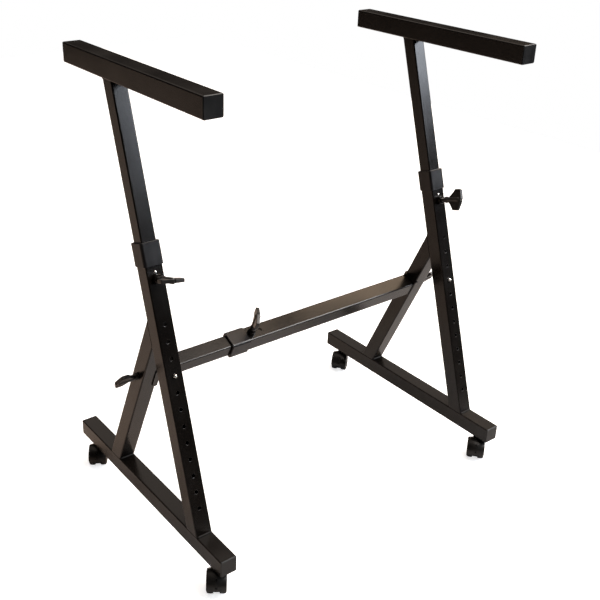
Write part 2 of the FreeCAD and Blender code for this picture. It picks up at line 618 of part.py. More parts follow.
def caster_stem():
    """Stem: spigot in the hood, collar under the base, threaded end inside the base."""
    collar_foot = HOOD_TOP + STEM_GAP
    return turned([
        (0, HOOD_TOP - STEM_SPIGOT_LENGTH), (STEM_SPIGOT_RADIUS, HOOD_TOP - STEM_SPIGOT_LENGTH),
        (STEM_SPIGOT_RADIUS, collar_foot), (STEM_COLLAR_RADIUS, collar_foot),
        (STEM_COLLAR_RADIUS, CASTER_HEIGHT),
        (STUD_RADIUS, CASTER_HEIGHT), (STUD_RADIUS, CASTER_HEIGHT + STEM_THREAD_LENGTH),
        (0, CASTER_HEIGHT + STEM_THREAD_LENGTH)])


def caster_nut():
    """Hexagon nut on the inner face of the base's underside."""
    foot = CASTER_HEIGHT + TUBE_WALL
    radius = NUT_FLATS / 2 / math.cos(math.pi / HEXAGON)
    turns = [2 * math.pi * n / HEXAGON for n in range(HEXAGON + 1)]
    corners = [Vector(radius * math.cos(turn), radius * math.sin(turn), foot) for turn in turns]
    hexagon = Part.Face(Part.makePolygon(corners)).extrude(Z_AXIS * NUT_HEIGHT)
    return hexagon.cut(Part.makeCylinder(STUD_RADIUS + RUNNING_GAP, NUT_HEIGHT, Vector(0, 0, foot)))


def at_both_ends(side, piece):
    """One piece of each of a frame's two casters, as a pair."""
    return Part.makeCompound([moved(piece, caster_frame(end, side)) for end in ENDS])


def knob(name, place, foot, standoff):
    """Nodes of a clamp knob whose stud reaches from foot, below the face, into the head."""
    return {
        f"{name}_wing": moved(wing_head(standoff), place),
        f"{name}_stud": moved(stud(foot, standoff + STUD_EMBEDDED), place)}


def stand():
    """All nodes of the stand by name."""
    nodes = {}
    stud_tip = -SLIDER_INSET + TIP_GAP
    bracket_tip = -(TUBE + BRACKET_GAP + BRACKET_WEB + BRACKET_NUT_HEIGHT + TIP_GAP)
    crossbar_knob = knob_frame(crossbar_frame("right"), CROSSBAR_KNOB_HEIGHT, CROSSBAR_KNOB_TURN)
    for side in SIDES:
        post = post_frame(side)
        post_knob = knob_frame(post, POST_KNOB_HEIGHT, POST_KNOB_TURN[side])
        bosses = [moved(threaded_boss(BOSS_RADIUS, BOSS_HEIGHT), post_knob), bracket_nut(side)]
        if side == "right":
            bosses.append(moved(threaded_boss(BOSS_RADIUS, BOSS_HEIGHT), crossbar_knob))
        nodes[f"{side}_base_tube"] = base_tube(side)
        nodes[f"{side}_base_end_caps"] = end_caps(side, TUBE, BASE_LENGTH, CASTER_HEIGHT)
        nodes[f"{side}_outer_post"] = outer_post(side)
        nodes[f"{side}_brace"] = brace_tube(side)
        nodes[f"{side}_post_collar"] = moved(collar(POST_LENGTH, POST_SLEEVE, RIVET_HEIGHT), post)
        nodes[f"{side}_collar_rivet"] = moved(rivet(), knob_frame(post, RIVET_HEIGHT, 0))
        nodes[f"{side}_threaded_bosses"] = Part.makeCompound(bosses)
        nodes[f"{side}_crossbar_bracket"] = bracket(side)
        nodes[f"{side}_inner_post"] = inner_post(side)
        nodes[f"{side}_arm_tube"] = level_tube(side, ARM_TUBE, ARM_LENGTH, ARM_UNDERSIDE)
        nodes[f"{side}_arm_end_caps"] = end_caps(side, ARM_TUBE, ARM_LENGTH, ARM_UNDERSIDE)
        nodes[f"{side}_snap_button"] = moved(snap_button(), knob_frame(post, BUTTON_HEIGHT, 0))
        nodes[f"{side}_snap_spring"] = moved(snap_spring(), post)
        nodes[f"{side}_caster_stems"] = at_both_ends(side, caster_stem())
        nodes[f"{side}_caster_nuts"] = at_both_ends(side, caster_nut())
        nodes.update(knob(f"{side}_post_knob", post_knob, stud_tip, BOSS_HEIGHT + POST_KNOB_STANDOFF))
        bracket_knob = bracket_knob_frame(side)
        nodes.update(knob(f"{side}_bracket_knob", bracket_knob, bracket_tip, BRACKET_KNOB_STANDOFF))
        for end in ENDS:
            place = caster_frame(end, side)
            nodes[f"{end}_{side}_caster_hood"] = moved(caster_hood(), place)
            nodes[f"{end}_{side}_caster_axle"] = moved(caster_axle(), place)
            for wheel_side, sign in SIDES.items():
                offset = Vector(0, 0, HOOD_WEB / 2 + WHEEL_SIDE_GAP)
                seat = place.multiply(wheel_axis_frame(sign))
                nodes[f"{end}_{side}_{wheel_side}_wheel"] = moved(wheel().translated(offset), seat)
    nodes["crossbar_inner_tube"] = crossbar_inner()
    nodes["crossbar_outer_tube"] = crossbar_outer()
    nodes["crossbar_collar"] = moved(collar(CROSSBAR_OUTER_LENGTH, CROSSBAR_SLEEVE), crossbar_frame("right"))
    nodes.update(knob("crossbar_knob", crossbar_knob, stud_tip, BOSS_HEIGHT + CROSSBAR_KNOB_STANDOFF))
    return nodes


os.makedirs("parts", exist_ok=True)
for node_name, shape in stand().items():
    shape.exportStep(f"parts/{node_name}.step")
    print(node_name, len(shape.Solids), shape.isValid(), round(shape.Volume))
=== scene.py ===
"""Keyboard stand on casters, dressed for a studio picture. Metres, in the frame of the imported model."""

import json
import math

import bpy
import numpy as np
from mathutils import Matrix, Vector


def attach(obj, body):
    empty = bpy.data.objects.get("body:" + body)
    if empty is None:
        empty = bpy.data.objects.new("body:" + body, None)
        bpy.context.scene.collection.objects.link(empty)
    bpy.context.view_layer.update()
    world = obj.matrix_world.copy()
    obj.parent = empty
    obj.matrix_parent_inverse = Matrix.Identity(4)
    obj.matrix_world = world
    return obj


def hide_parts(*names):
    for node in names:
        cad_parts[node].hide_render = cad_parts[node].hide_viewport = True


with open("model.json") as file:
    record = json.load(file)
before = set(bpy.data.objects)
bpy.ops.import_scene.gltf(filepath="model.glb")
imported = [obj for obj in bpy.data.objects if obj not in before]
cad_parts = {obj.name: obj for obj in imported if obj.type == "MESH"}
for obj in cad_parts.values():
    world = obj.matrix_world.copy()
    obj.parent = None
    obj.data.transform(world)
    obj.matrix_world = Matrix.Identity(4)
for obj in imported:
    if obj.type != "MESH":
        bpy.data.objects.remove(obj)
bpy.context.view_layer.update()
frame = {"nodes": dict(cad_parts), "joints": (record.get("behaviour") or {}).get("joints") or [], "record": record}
nodes = frame["nodes"]
joints = {joint["name"]: joint for joint in frame["joints"]}
slot_of = {part["node"]: part["material_slot"] for part in frame["record"]["subparts"]}

# Sizes of the stand that the added pieces need, in metres and radians
TUBE = 0.032
SLIDER = 0.028
ARM_TUBE = 0.034
FRAME_SPACING = 0.662
BASE_TOP = 0.082
ARM_TOP = 0.8597
ARM_UNDERSIDE = ARM_TOP - ARM_TUBE
POST_LEAN = math.radians(17.3)
POST_FRONT = -0.1805
BRACE_LEAN = math.radians(24.4)
BRACE_FRONT = 0.0936

# Height holes in the outer posts, measured along the post from the base
HOLE_RADIUS = 0.004
HOLE_FIRST = 0.050
HOLE_PITCH = 0.030
HOLE_COUNT = 12
HOLE_LIP = 0.00045
LIP_AROUND = 40
LIP_ACROSS = 10

# Weld beads: the last three shape a ripple and a bead's end, in shares of the bead's radius
BEAD_RADIUS = 0.0019
ARM_BEAD_RADIUS = 0.0015
BEAD_RIPPLE = 0.0026
BEAD_SIDE_MARGIN = 0.0015
BEAD_RINGS_PER_RIPPLE = 8
BEAD_AROUND = 20
BEAD_SWELL = 0.16
BEAD_BEND = 0.35
BEAD_END = 0.15

# Threaded studs: THREAD_CREST is the power of the wave, THREAD_START the side from which angles are counted
THREAD_RADIUS = 0.004
THREAD_DEPTH = 0.00055
THREAD_PITCH = 0.00125
THREAD_CREST = 0.7
THREAD_START = (0.3, 0.5, 0.8)
THREAD_RINGS_PER_PITCH = 8
THREAD_AROUND = 28

# Wheels: WHEEL_OFFSET is the distance from a caster's middle to each wheel, WHEEL_EDGE_START an angle
WHEEL_RADIUS = 0.020
WHEEL_WIDTH = 0.012
WHEEL_OFFSET = 0.0055
WHEEL_EDGE = 0.004
WHEEL_EDGE_START = 0.12
WHEEL_BEVEL = 0.0009
WHEEL_CROWN = 0.0003
WHEEL_DISC_THICKNESS = 0.0026
WHEEL_RIM_INNER_RADIUS = 0.0168
WHEEL_HUB_RADIUS = 0.0050
WHEEL_BORE_RADIUS = 0.00255
WHEEL_CENTRE_RADIUS = 0.00005
WHEEL_TREAD_POINTS = 9
WHEEL_EDGE_POINTS = 12
WHEEL_AROUND = 72

# Outer face of a wheel, dished between rim and hub cap: radius and depth under the face
WHEEL_FACE = ((0.0150, 0.0), (0.0146, 0.0002), (0.0138, 0.0009), (0.0082, 0.0010),
              (0.0075, 0.0005), (0.0052, 0.0005), (0.0046, 0.0010), (0.0006, 0.0010))

# Angle in degrees up to which neighbouring faces are shaded as one surface
ROUND_SHADING = 60
TURNED_SHADING = 35

SIDES = {"left": -1, "right": 1}
ENDS = ("front", "rear")


# Mesh forms

def closed_rings(rings):
    """Vertices and triangles of a closed solid whose skin is a stack of closed rings.

    rings has shape (n, m, 3). Neighbouring rings are joined by triangles and each end ring is closed by a fan
    to its mean point. Where the signed volume, the sum of a . (b x c) / 6 over the triangles, is negative,
    every triangle is turned round, so that faces point outwards.
    """
    count, around = rings.shape[:2]
    here = np.arange(count * around).reshape(count, around)
    beside = np.roll(here, -1, axis=1)
    first, last = count * around, count * around + 1
    strips = [
        np.stack([here[:-1], beside[:-1], beside[1:]], -1).reshape(-1, 3),
        np.stack([here[:-1], beside[1:], here[1:]], -1).reshape(-1, 3),
        np.stack([np.full(around, first), beside[0], here[0]], -1),
        np.stack([np.full(around, last), here[-1], beside[-1]], -1)]
    points = np.concatenate([rings.reshape(-1, 3), rings[:1].mean(1), rings[-1:].mean(1)])
    triangles = np.concatenate(strips)
    a, b, c = points[triangles[:, 0]], points[triangles[:, 1]], points[triangles[:, 2]]
    if np.einsum("ij,ij->i", a, np.cross(b, c)).sum() < 0:
        triangles = triangles[:, ::-1]
    return points, triangles


def make_piece(name, solids, body, material, shading_angle):
    """One object from closed solids, each given as (points, triangles), riding on a body of the frame."""
    counts = [len(points) for points, triangles in solids]
    starts = np.cumsum([0] + counts[:-1])
    points = np.concatenate([solid[0] for solid in solids])
    triangles = np.concatenate([solid[1] + start for solid, start in zip(solids, starts)])
    mesh = bpy.data.meshes.new(name)
    mesh.vertices.add(len(points))
    mesh.vertices.foreach_set("co", points.astype(np.float32).ravel())
    mesh.loops.add(triangles.size)
    mesh.loops.foreach_set("vertex_index", triangles.astype(np.int32).ravel())
    mesh.polygons.add(len(triangles))
    mesh.polygons.foreach_set("loop_start", np.arange(0, triangles.size, 3, dtype=np.int32))
    mesh.polygons.foreach_set("use_smooth", np.ones(len(triangles), dtype=bool))
    mesh.update(calc_edges=True)
    mesh.validate()
    mesh.set_sharp_from_angle(angle=math.radians(shading_angle))
    mesh.materials.append(material)
    piece = bpy.data.objects.new(name, mesh)
    bpy.context.scene.collection.objects.link(piece)
    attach(piece, body)
    return piece


def axes_about(direction, towards):
    """Rows x, y, z of a square frame: z along direction, x as near to towards as it can be, y = z x x."""
    z = np.array(direction, float)
    z /= np.linalg.norm(z)
    x = np.array(towards, float)
    x -= z * (x @ z)
    x /= np.linalg.norm(x)
    return np.stack([x, np.cross(z, x), z])


def placed(points, origin, axes):
    """Points of a local frame in the row frame: origin + px x + py y + pz z."""
    return np.array(origin) + points @ axes


def lathe(profile, around):
    """Rings of a turned solid: (r, h) becomes (r cos t, r sin t, h) for t from 0 to a full turn."""
    t = np.linspace(0, 2 * np.pi, around, endpoint=False)
    ring = np.stack([np.cos(t), np.sin(t), np.zeros_like(t)], -1)
    return profile[:, :1, None] * ring + profile[:, 1:, None] * np.array([0, 0, 1.0])


def round_ring(centre, axes, radius, roll):
    """Ring of round section, with its hole along z of the given axes.

    At angles a and b its point is centre + (R + r cos b) (x cos a + y sin a) + z r sin b, with R the radius
    and r the roll. The grid of angles closes on itself both ways, so the ring has no ends to close.
    """
    a = np.linspace(0, 2 * np.pi, LIP_AROUND, endpoint=False)[:, None]
    b = np.linspace(0, 2 * np.pi, LIP_ACROSS, endpoint=False)[None, :]
    reach = radius + roll * np.cos(b)
    lift = np.broadcast_to(roll * np.sin(b), (LIP_AROUND, LIP_ACROSS))
    local = np.stack([reach * np.cos(a), reach * np.sin(a), lift], -1)
    here = np.arange(LIP_AROUND * LIP_ACROSS).reshape(LIP_AROUND, LIP_ACROSS)
    beyond, beside = np.roll(here, -1, axis=0), np.roll(here, -1, axis=1)
    diagonal = np.roll(beyond, -1, axis=1)
    triangles = np.concatenate([
        np.stack([here, beyond, diagonal], -1).reshape(-1, 3),
        np.stack([here, diagonal, beside], -1).reshape(-1, 3)])
    return placed(local.reshape(-1, 3), centre, axes), triangles


def weld_bead(start, end, side_a, side_b, radius=BEAD_RADIUS):
    """Rippled weld fillet in the corner between two faces whose outward normals are side_a and side_b.

    At distance s from the start and angle t its radius is r (1 + swell |sin(pi (s - bend r cos 2t) / p)|),
    with p the ripple, so every ripple is a crescent. At both ends it is multiplied by e + (1 - e) sqrt(d / r)
    over the last r, with d the distance to the end and e the share that is left there.
    """
    start, end = np.array(start, float), np.array(end, float)
    length = np.linalg.norm(end - start)
    along = (end - start) / length
    rings = int(length / BEAD_RIPPLE * BEAD_RINGS_PER_RIPPLE) + 2
    s = np.linspace(0, length, rings)[:, None]
    t = np.linspace(0, 2 * np.pi, BEAD_AROUND, endpoint=False)[None, :]
    crescent = np.abs(np.sin(np.pi * (s - BEAD_BEND * radius * np.cos(2 * t)) / BEAD_RIPPLE))
    taper = np.sqrt(np.clip(np.minimum(s, length - s) / radius, 0, 1))
    r = radius * (1 + BEAD_SWELL * crescent) * (BEAD_END + (1 - BEAD_END) * taper)
    local = np.stack([r * np.cos(t), r * np.sin(t), np.broadcast_to(s, r.shape)], -1)
    outward = np.array(side_a, float) + np.array(side_b, float)
    return closed_rings(placed(local, start, axes_about(along, outward)))


def threaded_stud(origin, axis, start, end):
    """Rod with a rolled thread along axis, from start to end measured from origin.

    The wave at height h and angle t is 0.5 - 0.5 cos(2 pi h / p - t), raised to a power, and the radius is
    R - d + d f (1 - wave), with p the pitch and d the depth. The fade f falls to 0 over the last pitch at
    both ends.
    """
    h = np.arange(start, end, THREAD_PITCH / THREAD_RINGS_PER_PITCH)[:, None]
    t = np.linspace(0, 2 * np.pi, THREAD_AROUND, endpoint=False)[None, :]
    wave = (0.5 - 0.5 * np.cos(2 * np.pi * h / THREAD_PITCH - t)) ** THREAD_CREST
    fade = np.clip(np.minimum(h - start, end - h) / THREAD_PITCH, 0, 1)
    r = THREAD_RADIUS - THREAD_DEPTH * (1 - fade * (1 - wave))
    local = np.stack([r * np.cos(t), r * np.sin(t), np.broadcast_to(h, r.shape)], -1)
    return closed_rings(placed(local, origin, axes_about(axis, THREAD_START)))


# Materials

# Textures, in cells per metre
CLOUDS = 9
ORANGE_PEEL = 900
FINE_GRAIN = 3200
FLOW_MARKS = 45
BLOTCHES = 260
SCRATCHES = 1800

# Light specks in paint: their share at most, and the grain at which they start and are full
SPECK_SHARE = 0.35
SPECK_START, SPECK_FULL = 0.55, 0.75

# Strength of each texture's relief, and the depth of a scratch in metres
PEEL_STRENGTH = 0.35
GRAIN_STRENGTH = 0.2
MOULD_STRENGTH = 0.3
SCRATCH_STRENGTH = 0.2
SCRATCH_DEPTH = 0.00003

PAINT_DARK = (0.0042, 0.0033, 0.0027)
PAINT_LIGHT = (0.0075, 0.0061, 0.0050)
PLASTIC_DARK = (0.0060, 0.0060, 0.0060)
PLASTIC_LIGHT = (0.0110, 0.0105, 0.0100)


def new_material(name, colour, roughness, metallic=0.0, specular=0.5):
    """Material with one Principled shader; returns it with its node tree and shader."""
    material = bpy.data.materials.new(name)
    material.use_nodes = True
    tree = material.node_tree
    shader = tree.nodes["Principled BSDF"]
    shader.inputs["Base Color"].default_value = (*colour, 1)
    shader.inputs["Roughness"].default_value = roughness
    shader.inputs["Metallic"].default_value = metallic
    shader.inputs["Specular IOR Level"].default_value = specular
    return material, tree, shader


def object_noise(tree, cells, detail, roughness, stretch=None):
    """Factor of a noise texture on object coordinates, with so many cells per metre."""
    place = tree.nodes.new("ShaderNodeTexCoord")
    noise = tree.nodes.new("ShaderNodeTexNoise")
    noise.inputs["Scale"].default_value = cells
    noise.inputs["Detail"].default_value = detail
    noise.inputs["Roughness"].default_value = roughness
    if stretch is None:
        tree.links.new(place.outputs["Object"], noise.inputs["Vector"])
    else:
        mapping = tree.nodes.new("ShaderNodeMapping")
        mapping.inputs["Scale"].default_value = stretch
        tree.links.new(place.outputs["Object"], mapping.inputs["Vector"])
        tree.links.new(mapping.outputs["Vector"], noise.inputs["Vector"])
    return noise.outputs["Fac"]


def ramp(tree, factor, stops):
    """Colour ramp over a factor; stops are (position, colour)."""
    node = tree.nodes.new("ShaderNodeValToRGB")
    elements = node.color_ramp.elements
    while len(elements) < len(stops):
        elements.new(0.5)
    for element, (position, colour) in zip(elements, stops):
        element.position = position
        element.color = (*colour, 1)
    tree.links.new(factor, node.inputs["Fac"])
    return node.outputs["Color"]


def spread(tree, factor, low, high, start=0.35, end=0.65):
    """Factor stretched from start..end to low..high."""
    node = tree.nodes.new("ShaderNodeMapRange")
    for socket, value in (("From Min", start), ("From Max", end), ("To Min", low), ("To Max", high)):
        node.inputs[socket].default_value = value
    tree.links.new(factor, node.inputs["Value"])
    return node.outputs["Result"]


def blended(tree, factor, first, second):
    """Mix of two colours, each a socket or a plain colour."""
    node = tree.nodes.new("ShaderNodeMix")
    node.data_type = "RGBA"
    for socket, value in (("Factor", factor), ("A", first), ("B", second)):
        if isinstance(value, tuple):
            node.inputs[socket].default_value = (*value, 1)
        else:
            tree.links.new(value, node.inputs[socket])
    return node.outputs["Result"]


def relief(tree, shader, layers):
    """Bump from (factor, strength, depth in metres) layers, the coarsest first."""
    normal = None
    for factor, strength, depth in layers:
        bump = tree.nodes.new("ShaderNodeBump")
        bump.inputs["Strength"].default_value = strength
        bump.inputs["Distance"].default_value = depth
        tree.links.new(factor, bump.inputs["Height"])
        if normal is not None:
            tree.links.new(normal, bump.inputs["Normal"])
        normal = bump.outputs["Normal"]
    tree.links.new(normal, shader.inputs["Normal"])


def powder_coat(name, dark, light, roughness, peel_depth, specular):
    """Satin black powder coat: faint cloudy tone and gloss, light specks, orange peel and fine grain."""
    material, tree, shader = new_material(name, dark, roughness, specular=specular)
    clouds = object_noise(tree, CLOUDS, detail=4, roughness=0.6)
    peel = object_noise(tree, ORANGE_PEEL, detail=2, roughness=0.5)
    grain = object_noise(tree, FINE_GRAIN, detail=1, roughness=0.5)
    tone = ramp(tree, clouds, [(0.3, dark), (0.7, light)])
    speck = spread(tree, grain, 0.0, SPECK_SHARE, SPECK_START, SPECK_FULL)
    tree.links.new(blended(tree, speck, tone, light), shader.inputs["Base Color"])
    gloss = spread(tree, clouds, low=roughness - 0.04, high=roughness + 0.05)
    tree.links.new(gloss, shader.inputs["Roughness"])
    relief(tree, shader, [(peel, PEEL_STRENGTH, peel_depth), (grain, GRAIN_STRENGTH, peel_depth / 3)])
    return material


def moulded_plastic(name, dark, light, roughness, mould_cells, mould_depth, specular):
    """Moulded plastic: slow flow marks in tone and gloss, fine texture of the mould."""
    material, tree, shader = new_material(name, dark, roughness, specular=specular)
    flow = object_noise(tree, FLOW_MARKS, detail=3, roughness=0.55, stretch=(1.0, 1.0, 0.35))
    texture = object_noise(tree, mould_cells, detail=2, roughness=0.6)
    tree.links.new(ramp(tree, flow, [(0.35, dark), (0.65, light)]), shader.inputs["Base Color"])
    gloss = spread(tree, flow, low=roughness - 0.05, high=roughness + 0.06)
    tree.links.new(gloss, shader.inputs["Roughness"])
    relief(tree, shader, [(texture, MOULD_STRENGTH, mould_depth)])
    return material


def plated_steel(name, bright, dull, roughness, brush=(1.0, 1.0, 1.0)):
    """Zinc, blackened or blued steel: blotchy tone and gloss; brush stretches its fine scratches."""
    material, tree, shader = new_material(name, bright, roughness, metallic=1.0)
    blotch = object_noise(tree, BLOTCHES, detail=4, roughness=0.6)
    scratch = object_noise(tree, SCRATCHES, detail=2, roughness=0.5, stretch=brush)
    tree.links.new(ramp(tree, blotch, [(0.35, dull), (0.62, bright)]), shader.inputs["Base Color"])
    gloss = spread(tree, blotch, low=roughness + 0.1, high=roughness - 0.05)
    tree.links.new(gloss, shader.inputs["Roughness"])
    relief(tree, shader, [(scratch, SCRATCH_STRENGTH, SCRATCH_DEPTH)])
    return material


paint = powder_coat(
    "black_powder_coat", PAINT_DARK, PAINT_LIGHT, roughness=0.22, peel_depth=0.00004, specular=0.24)
weld_paint = powder_coat(
    "painted_weld", PAINT_DARK, PAINT_LIGHT, roughness=0.42, peel_depth=0.00012, specular=0.12)
# Paint of the hole lips, lighter than the coat: partly paint rubbed by the snap buttons, partly a painted
# highlight that brightens the lit lower lip into a light crescent
rubbed_and_highlight_paint = powder_coat(
    "rubbed_and_highlight_powder_coat", (0.014, 0.013, 0.012), (0.022, 0.020, 0.019),
    roughness=0.28, peel_depth=0.00004, specular=0.42)
cap_plastic = moulded_plastic(
    "end_cap_plastic", PLASTIC_DARK, PLASTIC_LIGHT,
    roughness=0.40, mould_cells=1500, mould_depth=0.00005, specular=0.24)
collar_plastic = moulded_plastic(
    "collar_plastic", (0.0055, 0.0050, 0.0054), (0.0095, 0.0087, 0.0094),
    roughness=0.32, mould_cells=1300, mould_depth=0.00004, specular=0.25)
knob_plastic = moulded_plastic(
    "knob_plastic", (0.0130, 0.0121, 0.0114), (0.0200, 0.0186, 0.0175),
    roughness=0.36, mould_cells=1100, mould_depth=0.00003, specular=0.36)
hood_plastic = moulded_plastic(
    "caster_hood_plastic", (0.0060, 0.0054, 0.0050), (0.0100, 0.0092, 0.0085),
    roughness=0.34, mould_cells=1100, mould_depth=0.00003, specular=0.28)
wheel_plastic = moulded_plastic(
    "wheel_nylon", PLASTIC_DARK, PLASTIC_LIGHT,
    roughness=0.42, mould_cells=800, mould_depth=0.00006, specular=0.22)
zinc = plated_steel("bright_zinc", (0.72, 0.71, 0.68), (0.55, 0.54, 0.52), roughness=0.24)
dark_steel = plated_steel("blackened_steel", (0.060, 0.058, 0.056), (0.030, 0.029, 0.028), roughness=0.34)
spring_blue = plated_steel(
    "blued_spring_steel", (0.16, 0.19, 0.26), (0.10, 0.11, 0.14), roughness=0.34, brush=(1.0, 0.1, 0.1))

SLOT_MATERIALS = {
    "painted_steel": paint, "cap_plastic": cap_plastic, "collar_plastic": collar_plastic,
    "knob_plastic": knob_plastic, "caster_plastic": hood_plastic, "wheel_plastic": wheel_plastic,
    "zinc_steel": zinc, "dark_steel": dark_steel, "spring_steel": spring_blue}

for node, slot_name in slot_of.items():
    for material_slot in nodes[node].material_slots:
        material_slot.material = SLOT_MATERIALS[slot_name]


# Welds

def edges_on_base(front, lean):
    """y of the front and the rear edge of a leaning tube where it meets the top of the base."""
    return front, front + TUBE / math.cos(lean)


def frame_welds(side):
    """Beads across the feet of post and brace, and along both ends of the joint between them.

    A face of the brace meets the post's rear face at gap / (tan of one lean + tan of the other) above the
    base, with gap the distance between the two on the base.
    """
    x = SIDES[side] * FRAME_SPACING / 2
    half = TUBE / 2 - BEAD_SIDE_MARGIN
    beads = []
    for front, lean in ((POST_FRONT, POST_LEAN), (BRACE_FRONT, BRACE_LEAN)):
        for y, facing in zip(edges_on_base(front, lean), (-1, 1)):
            beads.append(weld_bead(
                (x - half, y, BASE_TOP), (x + half, y, BASE_TOP), (0, 0, 1), (0, facing, 0)))
    post_rear = edges_on_base(POST_FRONT, POST_LEAN)[1]
    closing = math.tan(POST_LEAN) + math.tan(BRACE_LEAN)
    rear_of_post = (0, math.cos(POST_LEAN), -math.sin(POST_LEAN))
    for brace_edge, across in zip(edges_on_base(BRACE_FRONT, BRACE_LEAN), (-1, 1)):
        rise = (brace_edge - post_rear) / closing
        y, z = post_rear + rise * math.tan(POST_LEAN), BASE_TOP + rise
        brace_normal = (0, across * math.cos(BRACE_LEAN), across * math.sin(BRACE_LEAN))
        beads.append(weld_bead((x - half, y, z), (x + half, y, z), rear_of_post, brace_normal))
    return beads


def arm_welds(side):
    """Beads round the top of an inner post, under its arm."""
    x = SIDES[side] * FRAME_SPACING / 2
    z = ARM_UNDERSIDE
    half = SLIDER / 2 - BEAD_SIDE_MARGIN
    inset = (TUBE - SLIDER) / 2
    front = POST_FRONT + (z - BASE_TOP) * math.tan(POST_LEAN) + inset / math.cos(POST_LEAN)
    rear = front + SLIDER / math.cos(POST_LEAN)
    down = (0, 0, -1)
    beads = [weld_bead((x - half, y, z), (x + half, y, z), down, (0, facing, 0), ARM_BEAD_RADIUS)
             for y, facing in ((front, -1), (rear, 1))]
    for facing in (-1, 1):
        edge = x + facing * SLIDER / 2
        beads.append(weld_bead((edge, front + BEAD_SIDE_MARGIN, z), (edge, rear - BEAD_SIDE_MARGIN, z),
                               down, (facing, 0, 0), ARM_BEAD_RADIUS))
    return beads


for side in SIDES:
    make_piece(
        f"{side}_frame_welds", frame_welds(side), f"{side}_frame", weld_paint, ROUND_SHADING)
    make_piece(
        f"{side}_arm_welds", arm_welds(side), f"{side}_arm", weld_paint, ROUND_SHADING)


# Lips of the height holes

def height_hole_lips(side):
    """Round lip inside the front edge of each height hole, flush with the post's face."""
    up = np.array((0, math.sin(POST_LEAN), math.cos(POST_LEAN)))
    out = np.array((0, -math.cos(POST_LEAN), math.sin(POST_LEAN)))
    foot = np.array((SIDES[side] * FRAME_SPACING / 2, POST_FRONT, BASE_TOP))
    heights = [HOLE_FIRST + n * HOLE_PITCH for n in range(HOLE_COUNT)]
    return [round_ring(foot + up * height - out * HOLE_LIP, axes_about(out, up), HOLE_RADIUS, HOLE_LIP)
            for height in heights]


for side in SIDES:
    # The lips get the lighter paint: rubbed wear, and a painted highlight on the lit lower lip
    make_piece(f"{side}_height_hole_lips", height_hole_lips(side), f"{side}_frame", rubbed_and_highlight_paint,
               ROUND_SHADING)


# Studs

def stud_reach(node, origin, axis):
    """Lowest and highest distance of a node's points from origin along axis."""
    mesh = nodes[node].data
    points = np.empty(len(mesh.vertices) * 3, np.float32)
    mesh.vertices.foreach_get("co", points)
    along = (points.reshape(-1, 3) - np.array(origin)) @ np.array(axis)
    return float(along.min()), float(along.max())


for knob in ("left_post_knob", "right_post_knob", "left_bracket_knob", "right_bracket_knob", "crossbar_knob"):
    hinge = joints[f"{knob}_turn"]
    node = f"{knob}_stud"
    low, high = stud_reach(node, hinge["pos_m"], hinge["axis"])
    thread = threaded_stud(hinge["pos_m"], hinge["axis"], low, high)
    stud = make_piece(
        f"{knob}_threaded_stud", [thread], knob, SLOT_MATERIALS[slot_of[node]], ROUND_SHADING)
    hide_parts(node)


# Wheels

def wheel_profile():
    """Outline of a wheel, (radius, height), from the middle of its disc's inner face round to its outer one.

    The tread is a flat parabola of radius r - c (2s - 1)^2, for s from 0 to 1 across it and c the crown. At
    angle a the outer edge has radius r - e + (e - c (1 - sin a)) cos a and height w - e + e sin a.
    """
    r, w, edge = WHEEL_RADIUS, WHEEL_WIDTH, WHEEL_EDGE
    disc = w - WHEEL_DISC_THICKNESS
    inside = [
        (WHEEL_CENTRE_RADIUS, disc), (WHEEL_BORE_RADIUS, disc), (WHEEL_BORE_RADIUS, 0.0),
        (WHEEL_HUB_RADIUS, 0.0), (WHEEL_HUB_RADIUS, disc), (WHEEL_RIM_INNER_RADIUS, disc),
        (WHEEL_RIM_INNER_RADIUS, 0.0), (r - WHEEL_BEVEL, 0.0), (r - WHEEL_CROWN, WHEEL_CROWN)]
    s = np.linspace(0, 1, WHEEL_TREAD_POINTS)
    tread = np.stack([r - WHEEL_CROWN * (2 * s - 1) ** 2, WHEEL_BEVEL + s * (w - edge - WHEEL_BEVEL)], -1)
    a = np.linspace(WHEEL_EDGE_START, np.pi / 2, WHEEL_EDGE_POINTS)
    drawn_in = edge - WHEEL_CROWN * (1 - np.sin(a))
    shoulder = np.stack([r - edge + drawn_in * np.cos(a), w - edge + edge * np.sin(a)], -1)
    face = [(radius, w - depth) for radius, depth in WHEEL_FACE]
    return np.concatenate([inside, tread, shoulder, face])


for side in SIDES:
    for end in ENDS:
        for wheel_side, sign in SIDES.items():
            name = f"{end}_{side}_{wheel_side}_wheel"
            hinge = joints[f"{name}_roll"]
            axes = axes_about(np.array(hinge["axis"]) * sign, (0, 0, 1))
            rings = lathe(wheel_profile(), WHEEL_AROUND) + np.array([0, 0, WHEEL_OFFSET])
            turned = closed_rings(placed(rings, hinge["pos_m"], axes))
            wheel = make_piece(
                f"{name}_turned", [turned], name, wheel_plastic, TURNED_SHADING)
            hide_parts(name)


# Studio

# Floor: white to the camera; in other rays it turns from cool to warm between two distances along WARM_SIDE
FLOOR_LEFT, FLOOR_RIGHT, FLOOR_FRONT, FLOOR_REAR = -3.2, 2.4, -0.64, 4.0
FLOOR_DROP = -0.0004
FLOOR_GLOW = 0.75
PALE_PAPER = (0.86, 0.86, 0.86)
COOL_PAPER = (0.80, 0.78, 0.77)
WARM_PAPER = (0.79, 0.67, 0.59)
WARM_SIDE = (-0.6, 0.8, 0.0)
WARM_START, WARM_FULL = 0.0, 0.3

# Backdrop: its glow starts and is full where the cosine to BACKDROP_DIRECTION reaches these values
BACKDROP_DIRECTION = (0.25, 0.35, 0.90)
GLOW_START, GLOW_FULL = 0.67, 0.88
DARK_ROOM = (0.014, 0.013, 0.013)
WARM_GLOW = (1.0, 0.87, 0.77)
WHITE = (1.0, 1.0, 1.0)


